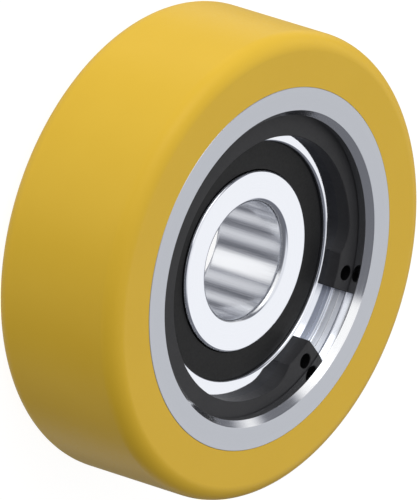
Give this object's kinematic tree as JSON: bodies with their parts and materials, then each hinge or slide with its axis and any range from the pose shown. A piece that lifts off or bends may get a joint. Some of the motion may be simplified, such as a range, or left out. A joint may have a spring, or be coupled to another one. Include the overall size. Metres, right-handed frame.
{
  "type": "guide roller",
  "caption": "Guide roller: a smooth polyurethane tread on a turned steel wheel centre, running on a sealed deep-groove ball bearing that an internal retaining ring holds.",
  "frame": {"origin": "middle of the wheel centre, on the roller's axis, which is the middle of the bounding box", "axes": "+Z along the roller's axis, out of the side with the retaining ring; the roller stands on its other side"},
  "size_m": [0.08, 0.08, 0.026],
  "materials": {
    "tread": "cast amber-yellow polyurethane, satin",
    "turned_steel": "finely turned",
    "ring_steel": "phosphated and oiled spring steel, dark grey",
    "bearing_steel": "ground bearing steel",
    "ball_steel": "polished bearing steel",
    "cage_steel": "pressed steel sheet",
    "seal_rubber": "moulded nitrile rubber, satin black"
  },
  "bodies": {
    "axle_side": {"bearing_inner_ring": "bearing_steel"},
    "roller": {"tread": "tread", "wheel_centre": "turned_steel", "retaining_ring": "ring_steel", "bearing_outer_ring": "bearing_steel", "seal_front": "seal_rubber", "seal_back": "seal_rubber"},
    "cage": {"cage_front": "cage_steel", "cage_back": "cage_steel", "cage_rivets": "cage_steel"},
    "ball_1": {"ball_1": "ball_steel"},
    "ball_2": {"ball_2": "ball_steel"},
    "ball_3": {"ball_3": "ball_steel"},
    "ball_4": {"ball_4": "ball_steel"},
    "ball_5": {"ball_5": "ball_steel"},
    "ball_6": {"ball_6": "ball_steel"},
    "ball_7": {"ball_7": "ball_steel"}
  },
  "joints": [
    {"name": "roller_spin", "type": "hinge", "parent": "axle_side", "child": "roller", "pos_m": [0, 0, 0.0003], "axis": [0, 0, 1], "continuous": true},
    {"name": "cage_spin", "type": "hinge", "parent": "axle_side", "child": "cage", "pos_m": [0, 0, 0.0003], "axis": [0, 0, 1], "continuous": true},
    {"name": "ball_1_spin", "type": "hinge", "parent": "cage", "child": "ball_1", "pos_m": [0.018, 0, 0.0003], "axis": [0, 0, 1], "continuous": true},
    {"name": "ball_2_spin", "type": "hinge", "parent": "cage", "child": "ball_2", "pos_m": [0.01122, 0.01407, 0.0003], "axis": [0, 0, 1], "continuous": true},
    {"name": "ball_3_spin", "type": "hinge", "parent": "cage", "child": "ball_3", "pos_m": [-0.00401, 0.01755, 0.0003], "axis": [0, 0, 1], "continuous": true},
    {"name": "ball_4_spin", "type": "hinge", "parent": "cage", "child": "ball_4", "pos_m": [-0.01622, 0.00781, 0.0003], "axis": [0, 0, 1], "continuous": true},
    {"name": "ball_5_spin", "type": "hinge", "parent": "cage", "child": "ball_5", "pos_m": [-0.01622, -0.00781, 0.0003], "axis": [0, 0, 1], "continuous": true},
    {"name": "ball_6_spin", "type": "hinge", "parent": "cage", "child": "ball_6", "pos_m": [-0.00401, -0.01755, 0.0003], "axis": [0, 0, 1], "continuous": true},
    {"name": "ball_7_spin", "type": "hinge", "parent": "cage", "child": "ball_7", "pos_m": [0.01122, -0.01407, 0.0003], "axis": [0, 0, 1], "continuous": true}
  ],
  "couplings": [
    {"joint": "cage_spin", "follows": "roller_spin", "ratio": 0.63229},
    {"joint": "ball_1_spin", "follows": "roller_spin", "ratio": 1.7575},
    {"joint": "ball_2_spin", "follows": "roller_spin", "ratio": 1.7575},
    {"joint": "ball_3_spin", "follows": "roller_spin", "ratio": 1.7575},
    {"joint": "ball_4_spin", "follows": "roller_spin", "ratio": 1.7575},
    {"joint": "ball_5_spin", "follows": "roller_spin", "ratio": 1.7575},
    {"joint": "ball_6_spin", "follows": "roller_spin", "ratio": 1.7575},
    {"joint": "ball_7_spin", "follows": "roller_spin", "ratio": 1.7575}
  ]
}
